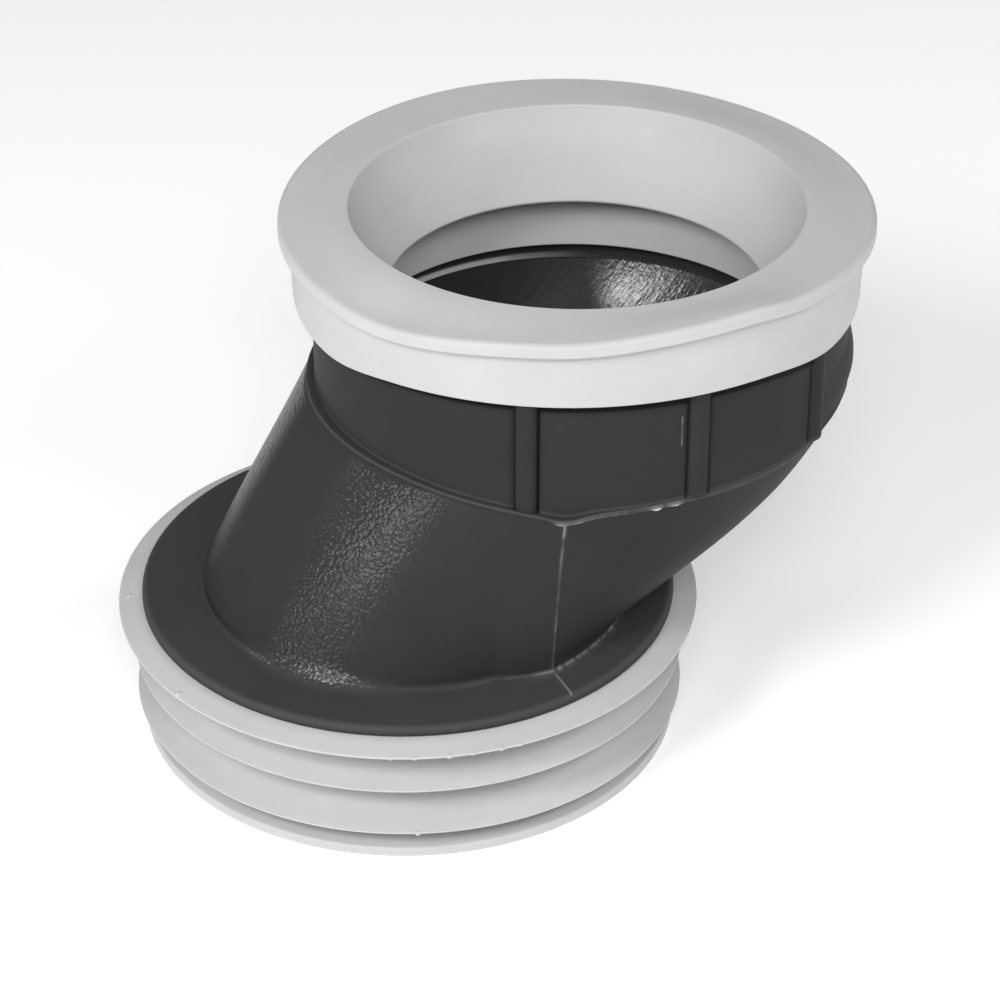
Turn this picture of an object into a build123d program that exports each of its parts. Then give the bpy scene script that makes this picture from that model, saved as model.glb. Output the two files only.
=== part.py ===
from build123d import *
import os
from math import cos, hypot, radians, sin, sqrt
from typing import NamedTuple

# Offset toilet pan connector: a plastic body with a rubber seal at each end.
# Millimetres, +Z up. The origin is on the outlet axis, at the foot of the outlet seal,
# and the inlet stands off along +X.

# Layout
axis_offset = 40.0            # inlet axis from outlet axis
overall_height = 115.0        # foot of the outlet seal to the top of the inlet rim
seat_clearance = 0.2          # rubber to plastic, on the radius

# Body: spigot and flange
body_wall = 3.0               # square to the wall
spigot_radius = 44.0          # outside of the spigot that carries the outlet seal
spigot_recess = 1.0           # the seal's foot stands this far below the spigot's end
flange_reach = 14.0           # flange's edge from the spigot
flange_thickness = 2.2
flange_edge_radius = 0.9

# Body: throat
foot_round = 2.0              # hollow round of the throat into the flange
foot_round_steps = 4
back_foot_rise = 0.4          # throat's foot from the spigot, away from the offset
belly_foot_rise = 2.3         # and under the offset
back_swell = 1.2              # how far the back stands out from straight, at mid height
belly_swell = 6.5             # and the belly
parting_x = 12.5              # plane where the mould's halves meet in a crease
crease_rise = 0.4             # how far the crease stands out from round
back_half_angle = 50.0        # half of the ledge circle's share that the back runs into
bore_step = 0.5               # small steps where the throat's inside meets the two bores

# Body: inlet socket
socket_radius = 57.3          # outside of the socket
socket_shift = 1.1            # middle of that outside from the inlet axis, along the offset
socket_depth = 36.4           # ledge to the socket's end
ledge_width = 2.4             # at the back; it runs out towards the belly
ledge_edge = 1.0              # upright edge of the ledge
ledge_edge_radius = 0.6
ledge_lap = 0.5               # ledge's edge from the throat's top below it, over the crease's rise
rib_width = 5.2               # round ribs on the socket, which stand out most at the back
rib_pitch = 36.0              # degrees between ribs
rib_count = 8                 # spread evenly either side of the offset direction
rib_end_depth = 6.0           # socket's end to the ribs' upper ends
rib_root = 0.4                # rib let into the ledge

# Inlet seal
rim_overhang = 2.2            # rim's edge from the skirt
rim_thickness = 3.2
rim_edge_bow = 0.8            # how far the rim's edge bows out
rim_cover = 4.0               # rubber over the socket's end
mouth_step = 1.3              # mouth's edge from the sleeve's inside
lip_reach = 7.7               # lip from the mouth's edge
lip_depth = 21.3              # rim's top to the lip's lower end
lip_land = 2.4                # straight part of the lip
lip_wall = 1.7
funnel_root_depth = 6.0       # where the funnel's back meets the sleeve
inlet_sleeve_wall = 3.5
inlet_sleeve_depth = 36.8     # rim's top to the sleeve's lower end
skirt_depth = 14.6            # rim's top to the skirt's lower edge
skirt_edge = 1.3              # skirt's thickness at its lower edge
skirt_root = 1.8              # and under the rim

# Outlet seal
outlet_seal_height = 30.4
outlet_sleeve_wall = 3.0
foot_ring_reach = 11.3        # foot ring's edge from the sleeve
foot_ring_edge = 2.1          # thickness of that edge
foot_ring_corner = 0.3
foot_ring_rise = 3.0          # foot ring's edge up to its root on the sleeve
foot_ring_hollow = 0.5        # sag of its hollow top
fin_count = 2
fin_reach = 12.9              # grip fin's edge from the sleeve
fin_edge = 0.6                # thickness of each fin's edge
first_fin_height = 7.2        # middle of the lowest fin's edge
fin_under = 2.0               # fin's edge up to its underside's root
fin_gap = 3.0                 # a fin's upper root to the next fin's edge
fin_hollow = 1.3              # sag of the hollow tops
cover_fin_reach = 16.0
cover_fin_drop = 1.6          # flange's underside to the cover fin's edge
cover_fin_under = 1.4         # cover fin's edge down to its underside's root
cover_fin_flat = 0.6          # flange's edge to the end of the flat that it lies on

# Heights and radii that follow
flange_top = outlet_seal_height + flange_thickness
flange_radius = spigot_radius + flange_reach
spigot_bore = spigot_radius - body_wall
socket_top = overall_height - rim_cover
rib_circle = socket_radius - socket_shift
socket_bore = rib_circle - body_wall
ledge_height = socket_top - socket_depth
ledge_radius = rib_circle + ledge_width
throat_top = ledge_height - ledge_edge
throat_foot = flange_top + foot_round
throat_height = throat_top - throat_foot

inlet_plane = Plane((axis_offset, 0, 0))
socket_plane = Plane((axis_offset + socket_shift, 0, 0))
inlet_profile_plane = Plane((axis_offset, 0, 0), x_dir=(1, 0, 0), z_dir=(0, -1, 0))
inlet_axis = Axis((axis_offset, 0, 0), (0, 0, 1))


class Outline(NamedTuple):
    """Level section of the throat, the same either side of the XZ plane."""

    shoulder_x: float         # where the back's arc ends
    shoulder_y: float
    back_x: float             # furthest point away from the offset
    crease_y: float           # crease in the parting plane
    belly_x: float            # furthest point under the offset
    bow: float                # rise of the short side between shoulder and crease


def section(shoulder_x, shoulder_y, back_x, belly_centre, belly_radius):
    """Outline with a round belly that reaches the parting plane at the crease."""
    crease_y = sqrt(belly_radius**2 - (parting_x - belly_centre) ** 2) + crease_rise
    half_side = hypot(parting_x - shoulder_x, crease_y - shoulder_y) / 2
    bow = belly_radius - sqrt(belly_radius**2 - half_side**2)
    return Outline(shoulder_x, shoulder_y, back_x, crease_y, belly_centre + belly_radius, bow)


def foot_section(back_radius, belly_radius):
    """Section at the foot, about the outlet axis."""
    return section(0.0, back_radius, -back_radius, 0.0, belly_radius)


def top_section(radius):
    """Nearly round section at the ledge, about the inlet axis."""
    shoulder_x = axis_offset - radius * cos(radians(back_half_angle))
    shoulder_y = radius * sin(radians(back_half_angle))
    return section(shoulder_x, shoulder_y, axis_offset - radius, axis_offset, radius)


def moved_out(outline, back, side, belly):
    """Outline with its back, sides and belly moved outwards."""
    return outline._replace(
        shoulder_y=outline.shoulder_y + side,
        back_x=outline.back_x - back,
        crease_y=outline.crease_y + side,
        belly_x=outline.belly_x + belly,
    )


def slanted_wall(run):
    """Level thickness of a wall that moves sideways by run over the throat's height."""
    return body_wall * hypot(1, run / throat_height)


def outline_edges(outline):
    """Edges of a section: back arc, two short sides and belly arc."""
    crease = (parting_x, outline.crease_y)
    shoulder = (outline.shoulder_x, outline.shoulder_y)
    near_crease = (parting_x, -outline.crease_y)
    near_shoulder = (outline.shoulder_x, -outline.shoulder_y)
    SagittaArc(near_crease, near_shoulder, outline.bow)
    ThreePointArc(near_shoulder, (outline.back_x, 0), shoulder)
    SagittaArc(shoulder, crease, outline.bow)
    ThreePointArc(crease, (outline.belly_x, 0), near_crease)


# Throat sections, outside and inside, at the foot, half way and the ledge
throat_levels = [throat_foot, throat_foot + throat_height / 2, throat_top]
outer_foot = foot_section(spigot_radius + back_foot_rise, spigot_radius + belly_foot_rise)
outer_top = top_section(ledge_radius - ledge_lap)
half_way = Outline(*[(low + high) / 2 for low, high in zip(outer_foot, outer_top)])
outer_middle = moved_out(half_way, back_swell, 0, belly_swell)
inner_foot = foot_section(spigot_bore + bore_step, spigot_bore + bore_step)
inner_middle = moved_out(
    outer_middle,
    -slanted_wall(outer_top.back_x - outer_foot.back_x),
    -body_wall,
    -slanted_wall(outer_top.belly_x - outer_foot.belly_x),
)
inner_top = top_section(socket_bore - bore_step)

with BuildPart() as body:
    # Flange
    with BuildSketch(Plane.XY.offset(outlet_seal_height)):
        Circle(flange_radius)
    extrude(amount=flange_thickness)
    fillet(body.edges().sort_by(Axis.Z)[-1], flange_edge_radius)

    # Throat
    for level, outline in zip(throat_levels, [outer_foot, outer_middle, outer_top]):
        with BuildSketch(Plane.XY.offset(level)):
            with BuildLine():
                outline_edges(outline)
            make_face()
    loft()

    # Hollow round of the throat into the flange
    for step in range(foot_round_steps + 1):
        turn = radians(90 * step / foot_round_steps)
        spread = foot_round * (1 - sin(turn))
        with BuildSketch(Plane.XY.offset(flange_top + foot_round * (1 - cos(turn)))):
            with BuildLine():
                outline_edges(moved_out(outer_foot, spread, spread, spread))
            make_face()
    loft(ruled=True)

    # Ledge and inlet socket
    with BuildSketch(inlet_plane.offset(throat_top)):
        Circle(ledge_radius)
    extrude(amount=ledge_edge)
    fillet(body.edges().filter_by_position(Axis.Z, ledge_height, ledge_height), ledge_edge_radius)
    with BuildSketch(socket_plane.offset(throat_top)):
        Circle(socket_radius)
    extrude(amount=ledge_edge + socket_depth)

    # Ribs
    rib_span = rib_pitch * (rib_count - 1)
    with BuildSketch(inlet_plane.offset(ledge_height - rib_root)):
        with PolarLocations(rib_circle, rib_count, -rib_span / 2, rib_span, endpoint=True):
            Circle(rib_width / 2)
    extrude(amount=rib_root + socket_depth - rib_end_depth)

    # Outlet spigot
    with BuildSketch(Plane.XY.offset(spigot_recess)):
        Circle(spigot_radius)
    extrude(amount=outlet_seal_height - spigot_recess)

    # Water way: spigot bore, throat and socket bore
    with BuildSketch(Plane.XY.offset(spigot_recess)):
        Circle(spigot_bore)
    extrude(amount=throat_foot - spigot_recess, mode=Mode.SUBTRACT)
    for level, outline in zip(throat_levels, [inner_foot, inner_middle, inner_top]):
        with BuildSketch(Plane.XY.offset(level)):
            with BuildLine():
                outline_edges(outline)
            make_face()
    loft(mode=Mode.SUBTRACT)
    with BuildSketch(inlet_plane.offset(throat_top)):
        Circle(socket_bore)
    extrude(amount=ledge_edge + socket_depth, mode=Mode.SUBTRACT)

with BuildPart() as inlet_seal:
    sleeve_outer = socket_bore - seat_clearance
    sleeve_inner = sleeve_outer - inlet_sleeve_wall
    sleeve_bottom = overall_height - inlet_sleeve_depth
    mouth_radius = sleeve_inner - mouth_step
    lip_radius = mouth_radius - lip_reach
    lip_bottom = overall_height - lip_depth
    skirt_inner = rib_circle + rib_width / 2 + seat_clearance
    skirt_bottom = overall_height - skirt_depth
    rim_corner = skirt_inner + skirt_root + rim_overhang - rim_edge_bow
    rim_under = overall_height - rim_thickness
    with BuildSketch(inlet_profile_plane):
        with BuildLine():
            Line((mouth_radius, overall_height), (rim_corner, overall_height))
            ThreePointArc(
                (rim_corner, overall_height),
                (rim_corner + rim_edge_bow, overall_height - rim_thickness / 2),
                (rim_corner, rim_under),
            )
            Polyline(
                (rim_corner, rim_under),
                (skirt_inner + skirt_root, rim_under),
                (skirt_inner + skirt_edge, skirt_bottom),
                (skirt_inner, skirt_bottom),
                (skirt_inner, socket_top),
                (sleeve_outer, socket_top),
                (sleeve_outer, sleeve_bottom),
                (sleeve_inner, sleeve_bottom),
                (sleeve_inner, overall_height - funnel_root_depth),
                (lip_radius + lip_wall, lip_bottom),
                (lip_radius, lip_bottom),
                (lip_radius, lip_bottom + lip_land),
                (mouth_radius, overall_height),
            )
        make_face()
    revolve(axis=inlet_axis)

with BuildPart() as outlet_seal:
    sleeve_bore = spigot_radius + seat_clearance
    sleeve_skin = sleeve_bore + outlet_sleeve_wall
    foot_ring_radius = sleeve_skin + foot_ring_reach
    foot_ring_top = (foot_ring_radius - foot_ring_corner, foot_ring_edge)
    foot_ring_root = (sleeve_skin, foot_ring_edge + foot_ring_rise)
    cover_fin_height = outlet_seal_height - cover_fin_drop
    cover_fin_radius = sleeve_skin + cover_fin_reach
    fin_radius = sleeve_skin + fin_reach
    fin_pitch = (cover_fin_height - first_fin_height) / fin_count
    with BuildSketch(Plane.XZ):
        # Sleeve
        with BuildLine():
            Polyline(
                (sleeve_bore, 0),
                (sleeve_skin, 0),
                (sleeve_skin, outlet_seal_height),
                (sleeve_bore, outlet_seal_height),
                close=True,
            )
        make_face()
        # Foot ring
        with BuildLine():
            Polyline(
                foot_ring_root,
                (sleeve_bore, foot_ring_root[1]),
                (sleeve_bore, 0),
                (foot_ring_radius, 0),
                (foot_ring_radius, foot_ring_edge - foot_ring_corner),
                foot_ring_top,
            )
            SagittaArc(foot_ring_top, foot_ring_root, foot_ring_hollow)
        make_face()
        # Grip fins
        for fin in range(fin_count):
            fin_middle = first_fin_height + fin * fin_pitch
            fin_top = (fin_radius, fin_middle + fin_edge / 2)
            fin_root = (sleeve_skin, fin_middle + fin_pitch - fin_gap)
            with BuildLine():
                Polyline(
                    fin_root,
                    (sleeve_bore, fin_root[1]),
                    (sleeve_bore, fin_middle + fin_under),
                    (sleeve_skin, fin_middle + fin_under),
                    (fin_radius, fin_middle - fin_edge / 2),
                    fin_top,
                )
                SagittaArc(fin_top, fin_root, fin_hollow)
            make_face()
        # Cover fin, with the flange lying on its flat
        with BuildLine():
            Polyline(
                (sleeve_bore, outlet_seal_height),
                (sleeve_bore, cover_fin_height - cover_fin_under),
                (sleeve_skin, cover_fin_height - cover_fin_under),
                (cover_fin_radius, cover_fin_height - fin_edge / 2),
                (cover_fin_radius, cover_fin_height + fin_edge / 2),
                (flange_radius - cover_fin_flat, outlet_seal_height),
                close=True,
            )
        make_face()
    revolve(axis=Axis.Z)

os.makedirs("parts", exist_ok=True)
body.part.label = "body"
export_step(body.part, "parts/body.step")
inlet_seal.part.label = "inlet_seal"
export_step(inlet_seal.part, "parts/inlet_seal.step")
outlet_seal.part.label = "outlet_seal"
export_step(outlet_seal.part, "parts/outlet_seal.step")
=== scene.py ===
"""Offset toilet pan connector: a dark plastic body with a grey rubber seal at each end."""

from math import acos, asin, atan2, cos, degrees, hypot, radians, sin, sqrt, tau
from typing import NamedTuple

import bmesh
import bpy
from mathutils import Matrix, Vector, noise


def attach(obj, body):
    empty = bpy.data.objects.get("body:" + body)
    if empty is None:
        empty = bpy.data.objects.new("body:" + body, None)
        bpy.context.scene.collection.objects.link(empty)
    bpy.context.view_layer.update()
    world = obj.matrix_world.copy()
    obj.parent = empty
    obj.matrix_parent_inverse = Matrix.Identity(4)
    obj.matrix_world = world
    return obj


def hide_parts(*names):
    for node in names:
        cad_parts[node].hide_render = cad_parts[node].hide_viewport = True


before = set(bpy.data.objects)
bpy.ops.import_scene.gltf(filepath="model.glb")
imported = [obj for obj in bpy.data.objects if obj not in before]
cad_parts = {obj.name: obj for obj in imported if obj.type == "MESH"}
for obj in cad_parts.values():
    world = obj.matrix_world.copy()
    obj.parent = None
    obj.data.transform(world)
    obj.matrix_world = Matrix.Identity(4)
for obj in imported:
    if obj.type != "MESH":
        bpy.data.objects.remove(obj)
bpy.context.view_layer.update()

MM = 0.001

# Sizes in millimetres and angles in degrees, near those of the part's source
AXIS_OFFSET = 40.0
PARTING_X = 12.5

SPIGOT_END = 1.0
SPIGOT_RADIUS = 44.0
SPIGOT_BORE = 41.0
FLANGE_UNDER = 30.4
FLANGE_TOP = 32.6
FLANGE_RADIUS = 58.0
FLANGE_EDGE_ROUND = 1.4
FLANGE_EDGE_CUT = 0.3
THROAT_FOOT = 34.6
THROAT_TOP = 73.6
LEDGE_TOP = 74.6
LEDGE_ROUND = 0.5
SOCKET_RADIUS = 57.3
SOCKET_SHIFT = 1.1
SOCKET_BORE = 53.2
SOCKET_END = 111.0
BORE_FOOT = 74.7
RIB_CIRCLE = 56.2
RIB_END = 105.0
RIB_FOOT_SHARE = 0.905
RIB_ANGLES = [-126, -90.4, -56.5, -18, 18, 54, 90, 126]
RIB_RADII = [2.6, 2.7, 3.1, 2.6, 2.6, 2.6, 2.6, 2.6]
SHOULDER_ANGLE = 130.0

# Mesh finish: gap to close, angle of a sharp edge, steps of a turn, longest stretch and segments of a round
MERGE_GAP = 0.0005
SHARP_FROM = 38
TURN_STEPS = 288
LONGEST_STRETCH = 2.2
ROUND_SEGMENTS = 5

# Level sections of the throat: shoulder x and y, back x, crease y, belly x and side bow
OUTER_SECTIONS = [
    (0.0, 44.4, -44.4, 47.0, 48.6, 0.7),
    (1.33, 44.45, -32.45, 49.4, 80.0, 0.6),
    (2.65, 44.51, -18.1, 51.9, 98.6, 0.63),
]
INNER_SECTIONS = [
    (0.0, 41.5, -41.5, 39.97, 41.5, 0.48),
    (1.33, 41.45, -28.89, 45.28, 73.7, 0.57),
    (6.13, 40.37, -12.7, 45.36, 92.7, 0.16),
]


def smooth_step(low, high, value):
    """0 below low, 1 above high and an even curve between them."""
    share = min(max((value - low) / (high - low), 0.0), 1.0)
    return share * share * (3 - 2 * share)


def round_the_ring(table, angle):
    """Value at an angle in degrees, on a smooth curve through (angle, value) pairs in rising order."""
    before = [(place - 360, value) for place, value in table[-2:]]
    after = [(place + 360, value) for place, value in table[:2]]
    pairs = before + list(table) + after
    angle = (angle - table[0][0]) % 360 + table[0][0]
    for one, two, three, four in zip(pairs, pairs[1:], pairs[2:], pairs[3:]):
        if two[0] <= angle <= three[0]:
            span = three[0] - two[0]
            leave = (three[1] - one[1]) / (three[0] - one[0]) * span
            arrive = (four[1] - two[1]) / (four[0] - two[0]) * span
            share = (angle - two[0]) / span
            rise = three[1] - two[1]
            bend = 3 * rise - 2 * leave - arrive + share * (leave + arrive - 2 * rise)
            return two[1] + share * (leave + share * bend)
    return 0.0


def finish_mesh(name, mesh_work, material, node):
    """Object from a bmesh in millimetres, with smooth faces, that stands for one CAD node."""
    bmesh.ops.remove_doubles(mesh_work, verts=mesh_work.verts, dist=MERGE_GAP)
    bmesh.ops.recalc_face_normals(mesh_work, faces=mesh_work.faces)
    for face in mesh_work.faces:
        face.smooth = True
    for edge in mesh_work.edges:
        edge.smooth = edge.calc_face_angle(0.0) < radians(SHARP_FROM)
    bmesh.ops.scale(mesh_work, verts=mesh_work.verts, vec=(MM, MM, MM))
    mesh = bpy.data.meshes.new(name)
    mesh_work.to_mesh(mesh)
    mesh_work.free()
    mesh.materials.append(material)
    piece = bpy.data.objects.new(name, mesh)
    bpy.context.scene.collection.objects.link(piece)
    weighted = piece.modifiers.new("even_shading", "WEIGHTED_NORMAL")
    weighted.keep_sharp = True
    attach(piece, "root")
    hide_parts(node)
    return piece


def turned_profile(corners, axis_x):
    """Bmesh turned about an upright axis from (radius, height, corner round) in millimetres."""
    work = bmesh.new()
    points = [work.verts.new((axis_x + radius, 0, height)) for radius, height, _ in corners]
    for first, last in zip(points, points[1:] + points[:1]):
        work.edges.new((first, last))
    for point, (_, _, corner_round) in zip(points, corners):
        if corner_round:
            bmesh.ops.bevel(
                work, geom=[point], offset=corner_round, offset_type="OFFSET", affect="VERTICES",
                segments=ROUND_SEGMENTS, profile=0.5, material=-1,
            )
    for edge in list(work.edges):
        cuts = int(edge.calc_length() // LONGEST_STRETCH)
        if cuts:
            bmesh.ops.subdivide_edges(work, edges=[edge], cuts=cuts)
    bmesh.ops.spin(
        work, geom=work.verts[:] + work.edges[:], cent=(axis_x, 0, 0), axis=(0, 0, 1),
        angle=tau, steps=TURN_STEPS, use_merge=True,
    )
    return work


class Wire:
    """A shader socket whose arithmetic adds Math nodes."""

    def __init__(self, tree, socket=None):
        self.tree = tree
        self.socket = socket

    def fill(self, node, values):
        """Sets or links a node's sockets."""
        for key, value in values.items():
            if isinstance(value, Wire):
                self.tree.links.new(value.socket, node.inputs[key])
            else:
                node.inputs[key].default_value = value

    def node(self, kind, settings=None, inputs=None, output=0):
        """New node with its settings, then its sockets' values or links; gives one of its outputs."""
        made = self.tree.nodes.new(kind)
        for key, value in (settings or {}).items():
            setattr(made, key, value)
        self.fill(made, inputs or {})
        return Wire(self.tree, made.outputs[output])

    def maths(self, operation, *values):
        """Math node on values."""
        return self.node("ShaderNodeMath", {"operation": operation}, dict(enumerate(values)))

    def __add__(self, other):
        return self.maths("ADD", self, other)

    def __radd__(self, other):
        return self.maths("ADD", other, self)

    def __sub__(self, other):
        return self.maths("SUBTRACT", self, other)

    def __rsub__(self, other):
        return self.maths("SUBTRACT", other, self)

    def __mul__(self, other):
        return self.maths("MULTIPLY", self, other)

    def __rmul__(self, other):
        return self.maths("MULTIPLY", other, self)

    def __abs__(self):
        return self.maths("ABSOLUTE", self)

    def between(self, low, high):
        """0 at low, 1 at high, and an even curve between them."""
        return self.node(
            "ShaderNodeMapRange",
            {"interpolation_type": "SMOOTHSTEP"},
            {"Value": self, "From Min": low, "From Max": high},
        )


def start_material(name):
    """New material with its wire maker, its point in object space and its shader."""
    material = bpy.data.materials.new(name)
    material.use_nodes = True
    tree = material.node_tree
    shader = tree.nodes["Principled BSDF"]
    wires = Wire(tree)
    place = wires.node("ShaderNodeTexCoord", output="Object")
    return material, wires, place, shader


def grain(wires, place, scale, detail=2.0, roughness=0.5):
    """Noise of about 0 to 1 with the given number of waves to the metre."""
    return wires.node(
        "ShaderNodeTexNoise", None,
        {"Vector": place, "Scale": scale, "Detail": detail, "Roughness": roughness}, "Fac",
    )


def split_axes(wires, place):
    """X, Y and Z of a place, in metres."""
    return [wires.node("ShaderNodeSeparateXYZ", None, {0: place}, axis) for axis in "XYZ"]


def grey(level):
    """Grey as a colour."""
    return level, level, level, 1


def blend(wires, share, first, second):
    """First colour turned into the second by share."""
    # By number, because the names of a Mix node's sockets repeat for each type of data
    return wires.node("ShaderNodeMix", {"data_type": "RGBA"}, {0: share, 6: first, 7: second}, 2)


def grey_rubber(name, axis_x):
    """Matte light grey rubber with faint turning marks round its axis."""
    material, wires, place, shader = start_material(name)
    x, y, z = split_axes(wires, place)
    east = x - axis_x * MM
    radius = wires.maths("SQRT", east * east + y * y)
    ring_place = wires.node("ShaderNodeCombineXYZ", None, {"X": radius, "Y": 0.0, "Z": z})
    rings = grain(wires, ring_place, 900.0, 3.0, 0.6)
    cloud = grain(wires, place, 45.0, 3.0, 0.6)
    skin = grain(wires, place, 2600.0, 2.0, 0.6)
    speck = grain(wires, place, 420.0, 2.0, 0.5).between(0.70, 0.78)
    tone = cloud * 0.5 + rings * 0.15 + skin * 0.35
    colour = blend(wires, tone.between(0.25, 0.75), grey(0.485), grey(0.545))
    colour = blend(wires, speck * 0.25, colour, grey(0.39))
    height = skin * 0.5 + rings * 0.15 + cloud * 0.4
    bump = wires.node(
        "ShaderNodeBump", None,
        {"Strength": 0.16, "Distance": 0.0004, "Height": height}, "Normal",
    )
    wires.fill(shader, {
        "Base Color": colour,
        "Roughness": 0.46 + 0.16 * skin,
        "Specular IOR Level": 0.45,
        "Normal": bump,
    })
    return material


# Surface layers of the body's mesh
BODY_LAYERS = ("flash_and_highlight", "inside", "dust_and_painted_light", "painted_shade")

# Where the plastic's gloss starts and ends, in metres
BORE_GLOSS_X = (0.064, 0.071)
BORE_GLOSS_TOP = (0.0735, 0.0742)
BACK_SLANT = 0.55
BACK_GLOSS = (-0.012, 0.0)
THROAT_GLOSS_FOOT = (0.0327, 0.0334)
THROAT_GLOSS_TOP = (0.0728, 0.0737)
THROAT_GLOSS_Y = (0.010, 0.020)
SHEEN_RISE = (0.040, 0.060)
SHEEN_FOOT = (0.0345, 0.0365)


def dark_plastic(name):
    """Dark moulded plastic, matte with flash, a painted highlight on the bore's seam, dust with painted
    light, and painted shade, glossier inside and on the throat's back.
    """
    material, wires, place, matte = start_material(name)
    x, y, z = split_axes(wires, place)
    flash_and_highlight, inside, dust_and_painted_light, painted_shade = (
        wires.node("ShaderNodeAttribute", {"attribute_name": layer}, None, "Fac") for layer in BODY_LAYERS
    )
    cloud = grain(wires, place, 30.0, 3.0, 0.6)
    fine = grain(wires, place, 4200.0, 2.0, 0.5)
    pebbles = 1 - wires.node(
        "ShaderNodeTexVoronoi", {"feature": "SMOOTH_F1"},
        {"Vector": place, "Scale": 1150.0, "Smoothness": 0.4}, "Distance",
    )
    flow_place = wires.node("ShaderNodeCombineXYZ", None, {"X": x * 0.12, "Y": y, "Z": z * 0.12})
    streaks = grain(wires, flow_place, 900.0, 3.0, 0.65)

    colour = blend(wires, (cloud * 0.7 + fine * 0.3).between(0.25, 0.75), grey(0.027), grey(0.034))
    # Dust with painted light: lighter on the flange, a painted highlight at its edge, and painted light on
    # the ledge's shaded shelf
    colour = blend(wires, dust_and_painted_light * (0.6 + 0.4 * cloud), colour, grey(0.09))
    # Painted shade: near black in the ribs' valleys, at the ledge's corner and in a line under the skirt
    colour = blend(wires, painted_shade * 0.9, colour, grey(0.004))
    colour = blend(wires, flash_and_highlight * 0.8, colour, grey(0.26))
    # Paler still past 1: bright flash blobs on the ledge, and the bore's seam as a painted highlight
    colour = blend(wires, flash_and_highlight * 2 - 2, colour, grey(0.6))

    back_half = 1 - (x + BACK_SLANT * (THROAT_TOP * MM - z)).between(*BACK_GLOSS)
    throat = z.between(*THROAT_GLOSS_FOOT) * (1 - z.between(*THROAT_GLOSS_TOP))
    throat_side = back_half * throat * abs(y).between(*THROAT_GLOSS_Y)
    sheen = 0.30 + 0.31 * z.between(*SHEEN_RISE) + 0.25 * (1 - z.between(*SHEEN_FOOT))
    bore_gloss = inside * (1 - z.between(*BORE_GLOSS_TOP)) * (0.03 + 0.97 * x.between(*BORE_GLOSS_X))
    gloss = wires.maths("MAXIMUM", bore_gloss, sheen * throat_side)

    outer_height = pebbles * (0.2 + 0.7 * throat_side) + fine * 0.1
    inner_height = streaks + pebbles * 0.2
    bump = wires.node("ShaderNodeBump", None, {
        "Strength": 0.9, "Distance": 0.00022, "Height": outer_height * (1 - inside) + inner_height * inside,
    }, "Normal")
    wires.fill(matte, {
        "Base Color": colour, "Roughness": 0.5 + 0.08 * fine, "Specular IOR Level": 0.06, "Normal": bump,
    })
    glossy = wires.node("ShaderNodeBsdfPrincipled", None, {
        "Base Color": colour,
        "Roughness": 0.19 + 0.05 * fine - inside * (0.07 - 0.16 * streaks),
        "Specular IOR Level": 0.6,
        "Normal": bump,
    })
    plain = Wire(wires.tree, matte.outputs["BSDF"])
    mixed = wires.node("ShaderNodeMixShader", None, {0: gloss, 1: plain, 2: glossy})
    wires.fill(wires.tree.nodes["Material Output"], {"Surface": mixed})
    return material


# The body's unevenness in millimetres, or its rawness as a share, at angles about the inlet axis in degrees
LEDGE_SAG = [
    (-173, 0.5), (-154, 0.3), (-144, -0.2), (-131, -0.9), (-123, -1.7), (-118, -2.3), (-111, -0.9),
    (-103, -0.4), (-95, 0.0), (-86, 0.1), (-76, 0.2), (-65, 0.5), (-56, 1.3), (-44, 1.6), (0, 1.6),
    (44, 1.6), (65, 0.5), (86, 0.1), (103, -0.4), (118, -1.6), (131, -0.9), (154, 0.3),
]
LEDGE_SHELF = [
    (-180, 2.2), (-150, 1.7), (-126, 1.6), (-118, 1.8), (-112, 1.2), (-104, 0.7), (-95, 0.4), (-75, 0.15),
    (-54, 0.1), (54, 0.1), (75, 0.15), (95, 0.4), (104, 0.7), (112, 1.2), (118, 1.8), (126, 1.6), (150, 1.7),
]
LEDGE_FLASH = [
    (-123, 0.0), (-120.5, 0.1), (-119.3, 0.8), (-118, 0.9), (-116.5, 0.7), (-114.8, 1.0), (-113.6, 0.5),
    (-108, 0.35), (-101, 0.35), (-99.0, 2.0), (-97.6, 0.4), (-95.0, 2.0), (-93.6, 0.5), (-91, 0.2),
    (-84, 0.3), (-70, 0.35), (-60, 0.2), (-50, 0.0), (60, 0.1), (100, 0.3), (118, 0.5), (128, 0.0),
]
FOOT_HOLLOW = [
    (-180, 1.0), (-170, 2.2), (-163, 3.9), (-158, 4.4), (-151, 3.6), (-144, 1.9), (-137, 1.5), (-130, 1.1),
    (-124, 0.8), (-118, 0.6), (-112, 0.45), (-100, 0.35), (-60, 0.35), (60, 0.35), (118, 0.35), (130, 1.3),
    (150, 1.3), (170, 1.0),
]
FOOT_FLASH = [
    (-180, 0.0), (-141, 0.0), (-134, 0.1), (-128, 0.1), (-122, 0.25), (-118, 1.0), (-112, 0.8), (-100, 0.8),
    (-94, 0.9), (-91.5, 1.2), (-89, 0.8), (-80, 0.9), (-76, 1.1), (-70, 0.4), (-50, 0.0), (50, 0.0),
    (100, 0.5), (118, 0.8), (130, 0.2), (142, 0.0),
]
SKIRT_WAVE = [
    (-174, -4.8), (-154, -2.4), (-136, -1.1), (-116, -0.4), (-95, -0.25), (-76, -0.9), (-55, -3.6),
    (-20, -3.0), (40, -2.0), (90, -1.5), (140, -3.0),
]

# The socket's swell over the belly, and the angle within which ribs run down across the ledge
BELLY_BULGE = 1.5
BULGE_ANGLES = (28.0, 56.0)
BULGE_RISE = (71.5, 80.5)
BULGE_FALL = (81.5, 89.0)
BELLY_RIBS = 70.0

# Heights where the ledge's sag starts and ends, and where the throat starts to draw in to the ledge
SAG_FROM = 60.0
SAG_UP_TO = 81.0
TUCK_FROM = 52.0
TUCK_CLEARANCE = 0.1
LEAST_SHELF = 0.05

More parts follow.
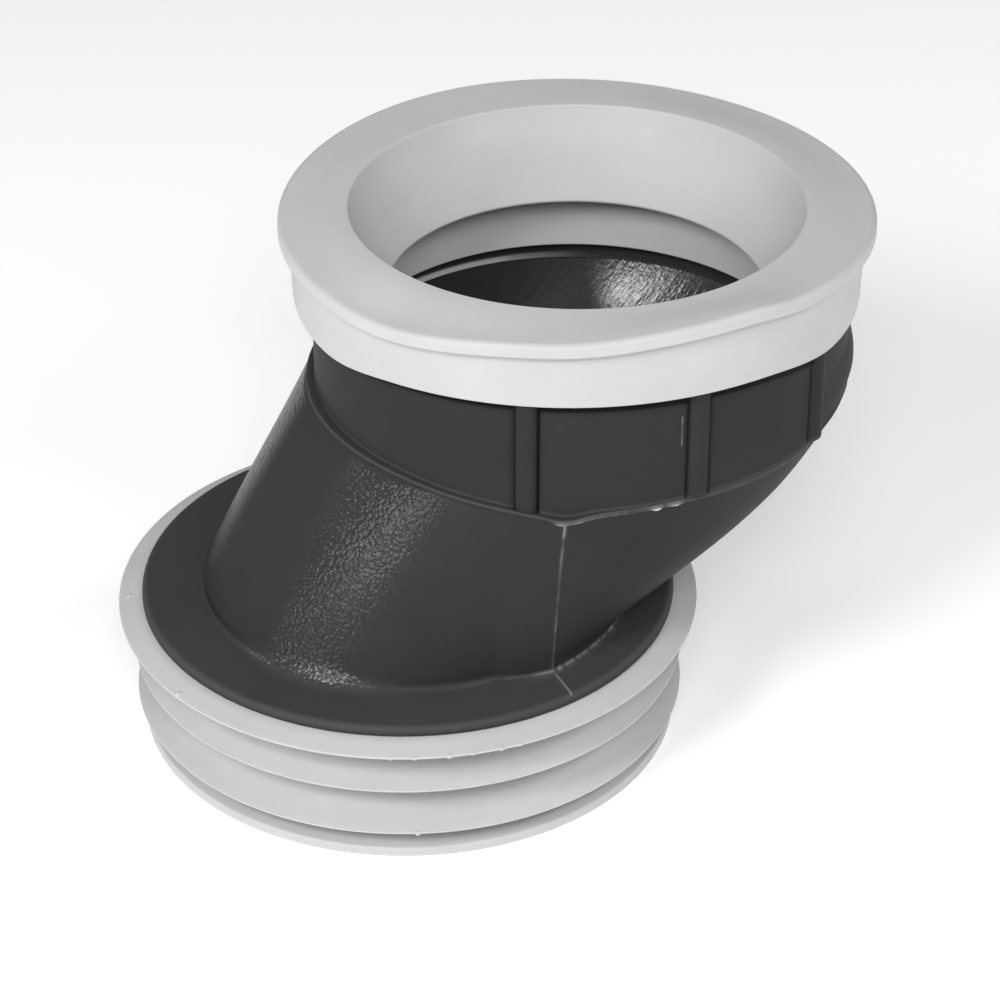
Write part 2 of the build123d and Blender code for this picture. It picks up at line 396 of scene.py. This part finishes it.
# The skirt's edge, how far under it the shaded line lies, and the levels that follow its wave
SKIRT_EDGE = 100.4
SHADED_BELOW = 3.6
LEVEL_UP_TO = 85.4
LEVEL_TOP = 96.3
LEVEL_END = 104.0

# Raw flash at the parting line, a nick beside one rib, and a pale seam at the bore's foot painted as a
# highlight
FLASH_REACH = 0.5
PARTING_RIDGE = 0.22
PARTING_RAW = 0.8
LINE_HALF_ANGLE = 0.5
LINE_PULL_ANGLE = 18.0
LINE_TOP_HEIGHTS = (69.5, 71.5)
NICK_ANGLE = -94.1
NICK_HALF_ANGLE = 0.25
NICK_FOOT = 87.4
NICK_TOP = 93.8
NICK_FADE = 0.4
SEAM_HIGHLIGHT_STARTS = (58, 88)
SEAM_HIGHLIGHT_ENDS = (128, 150)

# Dust with painted light: lighter on the flange with a painted highlight at its edge, and painted light on
# the ledge; painted shade in the valleys beside the ribs and under the skirt where no rib stands out
FLANGE_DUST_AND_LIGHT = 0.36
LEDGE_PAINTED_LIGHT = 0.8
VALLEY_FADE = (0.1, 0.4)
RIB_STANDS = (0.1, 0.6)

# Stations round the body: steps across a rib, gaps at the crease, and the fine and coarse steps elsewhere
RIB_STEPS = 20
CREASE_GAPS = (-1.1, -0.45, 0.0, 0.45, 1.1)
FINE_SPAN = (-124.0, -82.0)
FINE_STEP = 0.5
COARSE_STEP = 2
LEAST_GAP = 0.22


class Ring(NamedTuple):
    """One ring of the body: its points and, at each, the shares of the surface layers."""

    points: list
    flash_and_highlight: list
    inside: list
    dust_and_painted_light: list
    painted_shade: list


def half_angle(radius):
    """Half of the angle that a rib takes up round the inlet axis."""
    return degrees(asin(radius / RIB_CIRCLE))


def stations():
    """Angles about the inlet axis, in degrees, closer together at the ribs and the parting line."""
    crease = degrees(atan2(OUTER_SECTIONS[-1][3], PARTING_X - AXIS_OFFSET))
    exact = [
        rib + half_angle(radius) * cos(radians(180 / RIB_STEPS * step))
        for rib, radius in zip(RIB_ANGLES, RIB_RADII) for step in range(RIB_STEPS + 1)
    ]
    exact += [side * (crease + gap) for side in (-1, 1) for gap in CREASE_GAPS]
    exact += [NICK_ANGLE - NICK_HALF_ANGLE, NICK_ANGLE, NICK_ANGLE + NICK_HALF_ANGLE]
    start, end = FINE_SPAN
    filler = [start + FINE_STEP * step for step in range(int((end - start) / FINE_STEP))]
    filler += [angle for angle in range(-180, 180, COARSE_STEP) if not start <= angle <= end]
    spare = [angle for angle in filler if all(abs(angle - other) > LEAST_GAP for other in exact)]
    return sorted(exact + spare), crease


STATIONS, CREASE_ANGLE = stations()


def round_stations(table):
    """A table's values at every station."""
    return [round_the_ring(table, angle) for angle in STATIONS]


def evenly(share):
    """The same share at every station."""
    return [share] * len(STATIONS)


def roughly(value, seed):
    """Uneven share from 0 to 1 along a line."""
    return smooth_step(-0.45, 0.45, noise.noise(Vector((value, seed, 0.5))))


SAGS = round_stations(LEDGE_SAG)
SHELVES = round_stations(LEDGE_SHELF)
HOLLOWS = round_stations(FOOT_HOLLOW)
CREASE_LINE = [1 - smooth_step(0.0, LINE_HALF_ANGLE, abs(abs(angle) - CREASE_ANGLE)) for angle in STATIONS]
LEDGE_BURR = [
    max(amount, 0.0) * (0.6 + 0.4 * roughly(angle * 1.1, 3.0))
    for angle, amount in zip(STATIONS, round_stations(LEDGE_FLASH))
]
FOOT_BURR = [
    max(amount, 0.0) * (0.15 + 0.85 * roughly(angle * 0.9, 8.0))
    for angle, amount in zip(STATIONS, round_stations(FOOT_FLASH))
]


def arc_from_tip(tip, corner_x, corner_y, share):
    """Point on an arc with its centre on the X axis, from its tip there towards a corner."""
    centre = (corner_x**2 + corner_y**2 - tip**2) / (2 * (corner_x - tip))
    radius = tip - centre
    turn = share * atan2(corner_y, (corner_x - centre) * (1 if radius > 0 else -1))
    return centre + radius * cos(turn), abs(radius) * sin(turn)


def section_point(section, angle):
    """Point of a throat section for a station's angle."""
    shoulder_x, shoulder_y, back, crease, belly, bow = section
    side, turn = (1 if angle >= 0 else -1), abs(angle)
    if turn <= CREASE_ANGLE:
        x, y = arc_from_tip(belly, PARTING_X, crease, turn / CREASE_ANGLE)
    elif turn >= SHOULDER_ANGLE:
        x, y = arc_from_tip(back, shoulder_x, shoulder_y, (180 - turn) / (180 - SHOULDER_ANGLE))
    else:
        share = (turn - CREASE_ANGLE) / (SHOULDER_ANGLE - CREASE_ANGLE)
        run_x, run_y = shoulder_x - PARTING_X, shoulder_y - crease
        rise = 4 * bow * share * (1 - share) / hypot(run_x, run_y)
        x, y = PARTING_X + run_x * share + run_y * rise, crease + run_y * share - run_x * rise
    return x, y * side


FOOT_CREASE_REACH = hypot(PARTING_X, OUTER_SECTIONS[0][3])
FOOT_TURNS = [atan2(y, x) for x, y in (section_point(OUTER_SECTIONS[0], angle) for angle in STATIONS)]


def outlet_ring(radius, height, ridge=0.0, inside=0.0, dust_and_painted_light=0.0):
    """Ring about the outlet axis, whose crease stations lie in the parting plane, with a ridge there."""
    shift = acos(PARTING_X / radius) - acos(PARTING_X / FOOT_CREASE_REACH)
    points = []
    for angle, turn, line in zip(STATIONS, FOOT_TURNS, CREASE_LINE):
        near = 1 - smooth_step(0.0, LINE_PULL_ANGLE, abs(abs(angle) - CREASE_ANGLE))
        turn += (1 if angle >= 0 else -1) * shift * near
        points.append((radius * cos(turn), radius * sin(turn), height + ridge * line))
    flash_and_highlight = [line * PARTING_RAW for line in CREASE_LINE] if ridge else evenly(0.0)
    return Ring(points, flash_and_highlight, evenly(inside), evenly(dust_and_painted_light), evenly(0.0))


def wall_reach(angle):
    """Socket's outside from the inlet axis at an angle."""
    turn = radians(angle)
    return SOCKET_SHIFT * cos(turn) + sqrt(SOCKET_RADIUS**2 - (SOCKET_SHIFT * sin(turn)) ** 2)


def rib_reach(angle):
    """Outside of the nearest rib from the inlet axis at an angle, or 0 clear of the ribs."""
    off, radius = min((abs(radians(angle - rib)), radius) for rib, radius in zip(RIB_ANGLES, RIB_RADII))
    if RIB_CIRCLE * sin(off) > radius:
        return 0.0
    return RIB_CIRCLE * cos(off) + sqrt(radius**2 - (RIB_CIRCLE * sin(off)) ** 2)


def rib_valley(angle):
    """How near an angle is to the foot of a rib's flank, as a share."""
    gaps = (
        abs(abs(angle - rib) - RIB_FOOT_SHARE * half_angle(radius))
        for rib, radius in zip(RIB_ANGLES, RIB_RADII)
    )
    return 1 - smooth_step(*VALLEY_FADE, min(gaps))


WALLS = [wall_reach(angle) for angle in STATIONS]
RIBS = [rib_reach(angle) for angle in STATIONS]
RIB_VALLEYS = [rib_valley(angle) for angle in STATIONS]
SKIRT_LINE = [SKIRT_EDGE - SHADED_BELOW + wave for wave in round_stations(SKIRT_WAVE)]
TOP_POINTS = [section_point(OUTER_SECTIONS[-1], angle) for angle in STATIONS]
TUCKS = [
    max(hypot(x - AXIS_OFFSET, y) - wall - max(shelf - TUCK_CLEARANCE, 0.0), 0.0)
    for (x, y), wall, shelf in zip(TOP_POINTS, WALLS, SHELVES)
]


def bulge(angle, height):
    """How far the socket swells over the belly."""
    side = 1 - smooth_step(*BULGE_ANGLES, abs(angle))
    return BELLY_BULGE * side * smooth_step(*BULGE_RISE, height) * (1 - smooth_step(*BULGE_FALL, height))


def sunk(sag, height):
    """Height of a point near the ledge with the ledge's sag."""
    if height < THROAT_TOP:
        return height + sag * smooth_step(SAG_FROM, THROAT_TOP, height)
    return height + sag * (1 - smooth_step(LEDGE_TOP, SAG_UP_TO, height))


def under_skirt(line, height):
    """Height of a point of the socket, where the rings between two levels follow the skirt's edge."""
    if not LEVEL_UP_TO < height < LEVEL_END:
        return height
    if height > LEVEL_TOP:
        return line + height - LEVEL_TOP
    return LEVEL_UP_TO + (height - LEVEL_UP_TO) * (line - LEVEL_UP_TO) / (LEVEL_TOP - LEVEL_UP_TO)


def about_inlet(reach, angle, height):
    """Point about the inlet axis."""
    return AXIS_OFFSET + reach * cos(radians(angle)), reach * sin(radians(angle)), height


def bore_ring(radius, height, seam_highlight=0.0):
    """Ring of the socket's bore, with a painted highlight as a pale seam at the far side."""
    points = [about_inlet(radius, angle, height) for angle in STATIONS]
    # Paleness of the seam, a painted highlight on the far side of the bore's foot
    flash_and_highlight = [
        seam_highlight * smooth_step(*SEAM_HIGHLIGHT_STARTS, angle) * (1 - smooth_step(*SEAM_HIGHLIGHT_ENDS, angle)) for angle in STATIONS
    ]
    return Ring(points, flash_and_highlight, evenly(1.0), evenly(0.0), evenly(0.0))


def socket_ring(height, rib_drop=0.0, grown=0.0, nick=0.0, dust_and_painted_light=0.0, painted_shade=0.0):
    """Ring of the socket's outside, with the ribs lowered by rib_drop and a nick beside one rib."""
    points, flash_and_highlight, painted_shades = [], [], []
    for angle, wall, rib, sag, line, valley in zip(STATIONS, WALLS, RIBS, SAGS, SKIRT_LINE, RIB_VALLEYS):
        raw = nick * (1 - smooth_step(0.0, NICK_HALF_ANGLE, abs(angle - NICK_ANGLE)))
        base = wall + grown
        drop = 0.0 if abs(angle) < BELLY_RIBS and height < RIB_END else rib_drop
        reach = base + max(rib - drop - base, 0.0) + bulge(angle, height) + FLASH_REACH * raw
        points.append(about_inlet(reach, angle, under_skirt(line, sunk(sag, height))))
        flash_and_highlight.append(raw)
        # Painted shade in the valleys beside the ribs, and under the skirt where no rib stands out
        painted_shades.append(max(valley, painted_shade * (1 - smooth_step(*RIB_STANDS, rib - wall))))
    return Ring(points, flash_and_highlight, evenly(0.0), evenly(dust_and_painted_light), painted_shades)


def ledge_ring(inset, height, raw=0.0, dust_and_painted_light=0.0, rib_drop=0.0):
    """Ring of the ledge's edge, with its burr; the ribs over the belly run down across it."""
    points = []
    for angle, wall, rib, sag, shelf, burr in zip(STATIONS, WALLS, RIBS, SAGS, SHELVES, LEDGE_BURR):
        reach = wall + max(shelf - inset, LEAST_SHELF) + bulge(angle, height)
        if abs(angle) < BELLY_RIBS:
            reach = max(reach, rib - rib_drop)
        points.append(about_inlet(reach + FLASH_REACH * raw * burr, angle, sunk(sag, height)))
    return Ring(points, [raw * burr for burr in LEDGE_BURR], evenly(0.0), evenly(dust_and_painted_light), evenly(0.0))


def throat_point(sections, share, angle):
    """Point of the throat for a share of its height, on a curve through its three sections."""
    weights = (2 * (share - 0.5) * (share - 1), 4 * share * (1 - share), 2 * share * (share - 0.5))
    corners = [section_point(section, angle) for section in sections]
    x = sum(weight * corner[0] for weight, corner in zip(weights, corners))
    y = sum(weight * corner[1] for weight, corner in zip(weights, corners))
    return x, y


def throat_share(height):
    """Share of the throat's height."""
    return max((height - THROAT_FOOT) / (THROAT_TOP - THROAT_FOOT), 0.0)


def throat_inside(height):
    """Ring of the throat's inside at a height."""
    points = [(*throat_point(INNER_SECTIONS, throat_share(height), angle), height) for angle in STATIONS]
    return Ring(points, evenly(0.0), evenly(1.0), evenly(0.0), evenly(0.0))


def throat_outside(height, foot_raw=0.0):
    """Ring of the throat's outside at a height, with the parting ridge and the hollow round at its foot."""
    share = throat_share(height)
    centre_x = share * AXIS_OFFSET
    line_raw = 0.15 + 0.5 * roughly(height * 0.35, 5.0) + smooth_step(*LINE_TOP_HEIGHTS, height)
    tuck_share = smooth_step(TUCK_FROM, THROAT_TOP, height)
    points, flash_and_highlight, dust_and_painted_light = [], [], []
    lists = zip(STATIONS, CREASE_LINE, HOLLOWS, SAGS, FOOT_BURR, TUCKS)
    for angle, line, hollow, sag, burr, tuck in lists:
        x, y = throat_point(OUTER_SECTIONS, share, angle)
        below = max(hollow - (height - FLANGE_TOP), 0.0)
        grown = PARTING_RIDGE * line + hollow - sqrt(hollow**2 - below**2)
        grown += FLASH_REACH * foot_raw * burr - tuck_share * tuck
        reach = hypot(x - centre_x, y)
        points.append((x + (x - centre_x) / reach * grown, y + y / reach * grown, sunk(sag, height)))
        flash_and_highlight.append(min(max(line * line_raw, foot_raw * burr), 1.0))
        # Dust and painted light of the flange carried up the foot's hollow
        dust_and_painted_light.append(FLANGE_DUST_AND_LIGHT * below / hollow)
    return Ring(points, flash_and_highlight, evenly(0.0), dust_and_painted_light, evenly(0.0))


# Rows of the body's rings, in millimetres: the flange's edge and top with the parting ridge there
FLANGE_EDGE_RIDGES = (0.0, 0.0, 0.0, 0.1, 0.14, 0.18)
FLANGE_TOP_RIDGE = 0.18
FLANGE_TOP_RADII = (56.2, 54.5, 52.5, 50.5)

# The throat above the flange: rise and rawness at its foot, then rises alone
FOOT_ROWS = [(0.0, 0.3), (0.08, 0.8), (0.18, 1.0), (0.32, 0.8), (0.5, 0.3), (0.75, 0.0)]
HOLLOW_RISES = [1.05, 1.45, 2.0, 2.6, 3.3, 4.1, 5.0, 6.0]
THROAT_RISES = [7.5 + 1.25 * step for step in range(25)]
THROAT_TOP_RISES = [38.0, 38.6, 39.2, 39.7, 40.1, 40.5, 40.8]
INSIDE_LEVELS = 30
SPIGOT_LEVELS = (THROAT_FOOT, 18.0, SPIGOT_END)

# The ledge's edge: inset, height, rawness and rib drop, then rawness and painted light over its round
LEDGE_EDGE_ROWS = [
    (0.15, THROAT_TOP, 0.8, 1.3), (0.0, THROAT_TOP + 0.15, 1.0, 0.8),
    (0.0, THROAT_TOP + 0.35, 1.0, 0.5), (0.0, LEDGE_TOP - LEDGE_ROUND, 0.6, 0.25),
]
LEDGE_ROUND_ROWS = [(0.4, 0.4), (0.2, 1.0), (0.0, 0.6), (0.0, 0.4)]

# The socket above the ledge: rise, rib drop, growth of the wall, painted light and painted shade
SOCKET_FOOT_ROWS = [
    (0.02, 1.2, 0.25, 0.25, 0.2), (0.25, 0.7, 0.08, 0.6 * LEDGE_PAINTED_LIGHT, 0.0),
    (0.8, 0.3, 0.0, 0.0, 0.0), (1.8, 0.0, 0.0, 0.0, 0.0),
]

# The socket's levels, height and depth of the nick, rise and painted shade of the shaded line, and the ribs'
# end
SOCKET_LEVELS = (77.6, 78.8, 80.0, 81.2, 82.4, 83.8, 85.4)
NICK_ROWS = [
    (NICK_FOOT - NICK_FADE, 0.0), (NICK_FOOT, 0.7), (NICK_TOP - 2.0, 0.4), (NICK_TOP, 0.9),
    (NICK_TOP + NICK_FADE, 0.0),
]
SHADED_ROWS = [(0.0, 0.0), (0.4, 0.3), (0.8, 1.0), (3.0, 1.0)]
RIB_END_ROWS = [(RIB_END - 0.4, 0.0), (RIB_END, 9.0), (SOCKET_END, 9.0)]

# The bore's middle, then depth under its wall, drop under its foot and paleness of the seam, a painted
# highlight
BORE_MIDDLE = 92.0
BORE_ROWS = [
    (0.0, -0.3, 0.0), (0.0, 0.0, 0.3), (0.3, 0.15, 1.25), (1.0, 0.3, 1.25), (1.1, 0.6, 1.25),
    (1.15, 0.9, 1.0),
]


def flange_rings():
    """Rings of the spigot's outside and of the flange."""
    rings = [outlet_ring(SPIGOT_RADIUS, SPIGOT_END), outlet_ring(SPIGOT_RADIUS, FLANGE_UNDER)]
    rings.append(outlet_ring(FLANGE_RADIUS - FLANGE_EDGE_CUT, FLANGE_UNDER))
    rings.append(outlet_ring(FLANGE_RADIUS, FLANGE_UNDER + FLANGE_EDGE_CUT))
    for step, ridge in enumerate(FLANGE_EDGE_RIDGES):
        turn = radians(90 * step / (len(FLANGE_EDGE_RIDGES) - 1))
        # Dust on the flange's edge with a painted highlight, lightest at the middle of its round
        rings.append(outlet_ring(
            FLANGE_RADIUS - FLANGE_EDGE_ROUND * (1 - cos(turn)),
            FLANGE_TOP - FLANGE_EDGE_ROUND * (1 - sin(turn)),
            ridge, dust_and_painted_light=FLANGE_DUST_AND_LIGHT * (1 + 0.7 * sin(2 * turn)),
        ))
    for radius in FLANGE_TOP_RADII:
        rings.append(outlet_ring(radius, FLANGE_TOP, FLANGE_TOP_RIDGE, dust_and_painted_light=FLANGE_DUST_AND_LIGHT))
    return rings


def ledge_rings():
    """Rings of the ledge, from its burr up over its round."""
    rings = [
        ledge_ring(inset, height, raw, rib_drop=rib_drop) for inset, height, raw, rib_drop in LEDGE_EDGE_ROWS
    ]
    for step, (raw, dust_and_painted_light) in enumerate(LEDGE_ROUND_ROWS, 1):
        turn = radians(90 * step / len(LEDGE_ROUND_ROWS))
        # Painted light on the ledge's round, lightest at its middle
        rings.append(ledge_ring(
            LEDGE_ROUND * (1 - cos(turn)), LEDGE_TOP - LEDGE_ROUND * (1 - sin(turn)), raw, LEDGE_PAINTED_LIGHT * dust_and_painted_light,
        ))
    return rings


def socket_rings():
    """Rings of the socket's outside, from the ledge to its end under the seal."""
    rings = [
        socket_ring(LEDGE_TOP + rise, rib_drop, grown, dust_and_painted_light=dust_and_painted_light, painted_shade=painted_shade)
        for rise, rib_drop, grown, dust_and_painted_light, painted_shade in SOCKET_FOOT_ROWS
    ]
    rings += [socket_ring(height) for height in SOCKET_LEVELS]
    rings += [socket_ring(height, nick=depth) for height, depth in NICK_ROWS]
    # Painted shade in a line under the skirt's edge
    rings += [socket_ring(LEVEL_TOP + rise, painted_shade=painted_shade) for rise, painted_shade in SHADED_ROWS]
    rings += [socket_ring(height, rib_drop) for height, rib_drop in RIB_END_ROWS]
    return rings


def inside_rings():
    """Rings of the water way, from the socket's end down to the spigot's."""
    rings = [bore_ring(SOCKET_BORE, SOCKET_END), bore_ring(SOCKET_BORE, BORE_MIDDLE)]
    rings += [bore_ring(SOCKET_BORE - depth, BORE_FOOT - drop, seam_highlight) for depth, drop, seam_highlight in BORE_ROWS]
    for step in range(INSIDE_LEVELS, -1, -1):
        rings.append(throat_inside(THROAT_FOOT + (THROAT_TOP - THROAT_FOOT) * step / INSIDE_LEVELS))
    rings += [outlet_ring(SPIGOT_BORE, height, inside=1.0) for height in SPIGOT_LEVELS]
    return rings


def body_rings():
    """Rings of the body from the spigot's end up its outside and down its inside."""
    rings = flange_rings()
    rings += [throat_outside(FLANGE_TOP + rise, raw) for rise, raw in FOOT_ROWS]
    rings += [throat_outside(FLANGE_TOP + rise) for rise in HOLLOW_RISES + THROAT_RISES + THROAT_TOP_RISES]
    rings.append(throat_outside(THROAT_TOP))
    return rings + ledge_rings() + socket_rings() + inside_rings()


def build_body(material):
    """Body drawn out ring by ring from a circle, then closed at the spigot's end."""
    rings = body_rings()
    work = bmesh.new()
    work.verts.layers.int.new("station")
    for name in BODY_LAYERS:
        work.verts.layers.float.new(name)
    # A new layer spoils the handles of the earlier ones, so they are taken when all are made
    number = work.verts.layers.int["station"]
    layers = {name: work.verts.layers.float[name] for name in BODY_LAYERS}

    def put(vert, ring):
        """Moves a vertex to its station's place on a ring."""
        station = vert[number]
        vert.co = ring.points[station]
        for name, layer in layers.items():
            vert[layer] = getattr(ring, name)[station]

    circle = bmesh.ops.create_circle(work, segments=len(STATIONS), radius=1.0)["verts"]
    for index, vert in enumerate(circle):
        vert[number] = index
        put(vert, rings[0])
    first_edges = work.edges[:]
    edges = first_edges
    for ring in rings[1:]:
        made = bmesh.ops.extrude_edge_only(work, edges=edges)["geom"]
        verts = [item for item in made if isinstance(item, bmesh.types.BMVert)]
        fresh = set(verts)
        for vert in verts:
            put(vert, ring)
        edges = [
            item for item in made
            if isinstance(item, bmesh.types.BMEdge) and all(vert in fresh for vert in item.verts)
        ]
    bmesh.ops.bridge_loops(work, edges=first_edges + edges)
    return finish_mesh("plastic_body", work, material, "body")


# Profile of the inlet seal: radius, height and corner round in millimetres
INLET_PROFILE = [
    (48.2, 115.0, 0.3), (63.0, 115.0, 1.3), (63.0, 111.8, 0.5), (60.8, 111.8, 0.3),
    (60.3, SKIRT_EDGE, 0.3), (59.0, SKIRT_EDGE, 0.3), (59.0, SOCKET_END, 0.0), (53.0, SOCKET_END, 0.0),
    (53.0, 78.2, 0.4), (49.5, 78.2, 0.5), (49.5, 109.0, 1.0), (42.2, 93.7, 0.5),
    (40.6, 93.7, 0.25), (40.4, 94.3, 0.2),
]

# Rise and fall of the rim, in millimetres at angles in degrees, and the tilt of the mouth's edge
RIM_WARP = [
    (-175, -2.3), (-155, -2.7), (-130, 0.0), (-116, 0.8), (-97, 2.5), (-82, 2.9), (-71, 1.7), (-58, 1.0),
    (-25, -0.8), (20, -1.7), (60, -1.2), (95, -0.75), (140, -1.6),
]
MOUTH_TILT = 0.9
MOUTH_LOW_ANGLE = 80

# Radii and heights over which the warp of the rim, the mouth and the skirt comes in
RIM_RADII = (49.0, 62.0)
RIM_HEIGHTS = (104.0, 111.5)
MOUTH_HEIGHTS = (106.0, 114.0)
SKIRT_RADII = (58.5, 59.0)
SKIRT_HEIGHTS = (SKIRT_EDGE, 109.0)


def build_inlet_seal(material):
    """Inlet seal: rim, skirt, sleeve and funnel lip, turned and then warped as soft rubber is."""
    work = turned_profile(INLET_PROFILE, AXIS_OFFSET)
    for vert in work.verts:
        x, y, z = vert.co.x - AXIS_OFFSET, vert.co.y, vert.co.z
        angle, radius = degrees(atan2(y, x)), hypot(x, y)
        rim = smooth_step(*RIM_RADII, radius) * smooth_step(*RIM_HEIGHTS, z)
        mouth = (1 - smooth_step(*RIM_RADII, radius)) * smooth_step(*MOUTH_HEIGHTS, z)
        skirt = smooth_step(*SKIRT_RADII, radius) * (1 - smooth_step(*SKIRT_HEIGHTS, z))
        vert.co.z += rim * round_the_ring(RIM_WARP, angle) + skirt * round_the_ring(SKIRT_WAVE, angle)
        vert.co.z -= mouth * MOUTH_TILT * cos(radians(angle - MOUTH_LOW_ANGLE))
    return finish_mesh("rubber_inlet_seal", work, material, "inlet_seal")


# Profile of the outlet seal: radius, height and corner round in millimetres
OUTLET_PROFILE = [
    (44.2, 0.0, 0.0), (58.5, 0.0, 0.2), (58.5, 2.1, 0.5), (53.0, 2.9, 1.5), (49.2, 4.2, 1.0),
    (47.2, 8.8, 0.6), (60.0, 6.95, 0.1), (60.1, 7.35, 0.15), (54.6, 9.3, 3.0), (49.6, 12.8, 2.0),
    (47.2, 19.4, 0.6), (60.0, 17.75, 0.1), (60.1, 18.15, 0.15), (54.6, 20.1, 3.0), (49.6, 23.6, 2.0),
    (47.2, 27.4, 0.6), (63.1, 28.45, 0.1), (63.2, 28.95, 0.2), (58.3, 30.35, 0.0), (44.2, FLANGE_UNDER, 0.0),
]

# Moulding nibs on the outlet seal: angle in degrees, radius, level, width and height in millimetres
NIBS = [
    (-164.1, 62.5, 29.15, 0.8, 0.5), (159.4, 60.9, 29.6, 0.7, 0.4), (-112.1, 60.05, 7.15, 0.8, 0.45),
    (-117.0, 63.15, 28.7, 0.6, 0.3), (-112.5, 63.15, 28.7, 0.7, 0.25), (-106.0, 63.15, 28.7, 0.9, 0.3),
    (-101.5, 63.15, 28.7, 0.6, 0.25), (-96.0, 63.15, 28.7, 0.8, 0.3), (-92.4, 63.15, 28.7, 0.6, 0.25),
]
NIB_CUTS = 4
NIB_CLEARANCE = 2.5


def raise_nib(work, place, width, height):
    """Small round bump on a mesh, on faces cut finer for it."""
    near = [
        edge for edge in work.edges
        if ((edge.verts[0].co + edge.verts[1].co) / 2 - place).length
        < NIB_CLEARANCE * width + edge.calc_length() / 2
    ]
    bmesh.ops.subdivide_edges(work, edges=near, cuts=NIB_CUTS, use_grid_fill=True)
    work.normal_update()
    for vert in [vert for vert in work.verts if (vert.co - place).length < width]:
        share = (vert.co - place).length / width
        vert.co += vert.normal * height * (1 - share * share) ** 2


def build_outlet_seal(material):
    """Outlet seal: sleeve, foot ring, two grip fins and the cover fin under the flange."""
    work = turned_profile(OUTLET_PROFILE, 0.0)
    bmesh.ops.recalc_face_normals(work, faces=work.faces)
    for angle, radius, level, width, height in NIBS:
        turn = radians(angle)
        raise_nib(work, Vector((radius * cos(turn), radius * sin(turn), level)), width, height)
    return finish_mesh("rubber_outlet_seal", work, material, "outlet_seal")


build_body(dark_plastic("dark_plastic"))
build_inlet_seal(grey_rubber("grey_rubber_inlet", AXIS_OFFSET))
build_outlet_seal(grey_rubber("grey_rubber_outlet", 0.0))


# Square soft boxes round the object: name, azimuth and elevation in degrees, width in metres, power in watts
SOFT_BOXES = [
    ("front_box", -115, 38, 0.35, 5.4),
    ("left_box", -152, 39, 0.35, 7.0),
    ("low_left_box", -171, 16, 0.26, 2.0),
    ("far_left_box", -220, 24, 0.35, 1.9),
    ("right_front_box", -80, 40, 0.35, 1.9),
    ("right_box", -45, 40, 0.35, 1.8),
    ("far_right_box", -10, 24, 0.35, 2.9),
    ("back_box", 65, 32, 0.7, 1.0),
    ("top_box", -115, 75, 0.5, 1.0),
]
LIGHT_AIM = Vector((0.022, 0.0, 0.045))
LIGHT_REACH = 1.2
FLOOR_HALF = 6.0
FLOOR_GLOW = 0.22
ROOM_GLOW = 0.02

# Camera at the photograph's angle: place in metres, direction, lens and sensor in millimetres
CAMERA_PLACE = (-0.2492, -0.5819, 0.4496)
CAMERA_FORWARD = Vector((0.3577, 0.7670, -0.5327))
CAMERA_LENS = 124.74
CAMERA_SENSOR = 36.0


def add_light(name, azimuth, elevation, size, power):
    """Square area light on a dome round the object, facing its middle."""
    lamp = bpy.data.lights.new(name, "AREA")
    lamp.shape = "SQUARE"
    lamp.size = size
    lamp.energy = power
    turn, rise = radians(azimuth), radians(elevation)
    outward = Vector((cos(rise) * cos(turn), cos(rise) * sin(turn), sin(rise)))
    holder = bpy.data.objects.new(name, lamp)
    holder.location = LIGHT_AIM + LIGHT_REACH * outward
    holder.rotation_euler = outward.to_track_quat("Z", "Y").to_euler()
    bpy.context.scene.collection.objects.link(holder)


def build_floor():
    """Pale floor under the object."""
    work = bmesh.new()
    bmesh.ops.create_grid(work, x_segments=1, y_segments=1, size=FLOOR_HALF)
    mesh = bpy.data.meshes.new("floor")
    work.to_mesh(mesh)
    work.free()
    material, wires, place, shader = start_material("pale_floor")
    wires.fill(shader, {
        "Base Color": blend(wires, grain(wires, place, 3.0), grey(0.94), grey(0.97)),
        "Roughness": 0.9,
        "Specular IOR Level": 0.1,
        "Emission Color": grey(1),
        "Emission Strength": FLOOR_GLOW,
    })
    mesh.materials.append(material)
    floor = bpy.data.objects.new("floor", mesh)
    bpy.context.scene.collection.objects.link(floor)


def build_room():
    """White surroundings, soft lights and the camera."""
    world = bpy.data.worlds.new("white_room")
    world.use_nodes = True
    background = world.node_tree.nodes["Background"]
    background.inputs["Color"].default_value = grey(1)
    background.inputs["Strength"].default_value = ROOM_GLOW
    bpy.context.scene.world = world
    bpy.context.scene.view_settings.view_transform = "Standard"

    for name, azimuth, elevation, size, power in SOFT_BOXES:
        add_light(name, azimuth, elevation, size, power)

    camera = bpy.data.cameras.new("camera")
    camera.sensor_width = CAMERA_SENSOR
    camera.lens = CAMERA_LENS
    holder = bpy.data.objects.new("camera", camera)
    holder.location = CAMERA_PLACE
    holder.rotation_euler = CAMERA_FORWARD.to_track_quat("-Z", "Y").to_euler()
    bpy.context.scene.collection.objects.link(holder)
    bpy.context.scene.camera = holder


build_floor()
build_room()
